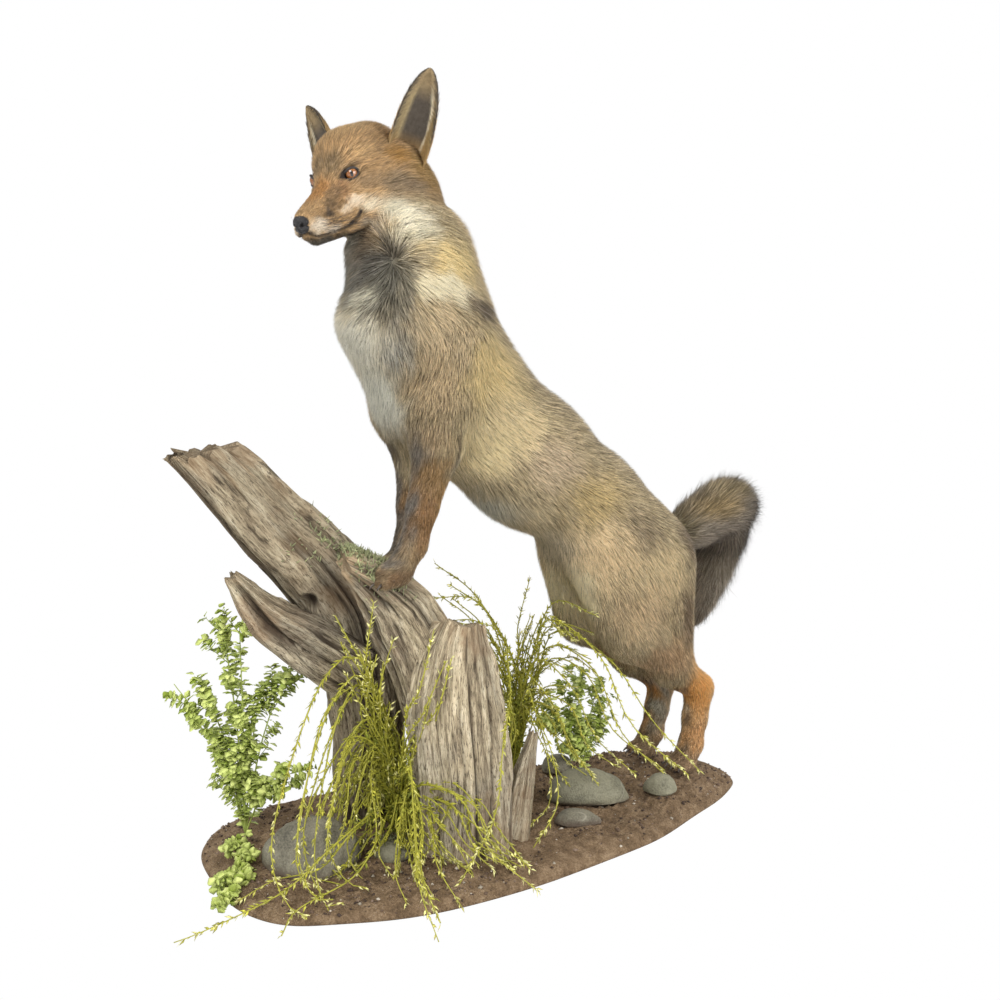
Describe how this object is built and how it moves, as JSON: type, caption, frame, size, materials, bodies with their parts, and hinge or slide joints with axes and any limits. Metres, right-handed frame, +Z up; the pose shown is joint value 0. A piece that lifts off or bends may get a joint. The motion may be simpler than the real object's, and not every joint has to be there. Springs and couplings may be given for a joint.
{
  "type": "taxidermy fox mount",
  "caption": "Life-size taxidermy red fox standing with its forepaws on a piece of driftwood, on a soil-covered base with stones, moss and artificial plants.",
  "frame": {"origin": "middle of the footprint of the whole mount, on the floor", "axes": "+Z up; the fox faces -Y; its left side is +X; metres"},
  "size_m": [0.4156, 0.8086, 0.8396],
  "materials": {
    "russet_coat": "furry, matte",
    "golden_coat": "furry, matte",
    "brown_leg_coat": "furry, matte",
    "dark_coat": "furry, matte",
    "nose_leather": "satin, pebbled",
    "glass_eye": "gloss",
    "soil": "rough, granular",
    "weathered_wood": "dry, grained",
    "stone": "rough",
    "artificial_leaf": "matte"
  },
  "bodies": {
    "root": {"foreleg_left": "brown_leg_coat", "forepaw_left": "brown_leg_coat", "hindleg_left": "golden_coat", "hindfoot_left": "brown_leg_coat", "foreleg_right": "brown_leg_coat", "forepaw_right": "brown_leg_coat", "hindleg_right": "golden_coat", "hindfoot_right": "brown_leg_coat", "neck": "russet_coat", "chest": "russet_coat", "loin": "golden_coat", "rump": "russet_coat", "tail_root": "dark_coat", "tail_middle": "dark_coat", "tail_tip": "dark_coat", "head": "russet_coat", "nose": "nose_leather", "eye_left": "glass_eye", "ear_left": "dark_coat", "eye_right": "glass_eye", "ear_right": "dark_coat", "soil_base": "soil", "driftwood": "weathered_wood", "stone_front_large": "stone", "stone_front_small": "stone", "stone_middle": "stone", "stone_hind": "stone", "stone_dark": "stone", "stone_far": "stone", "grass_front": "artificial_leaf", "grass_back": "artificial_leaf", "sprig_left": "artificial_leaf", "sprig_right": "artificial_leaf"}
  },
  "joints": []
}
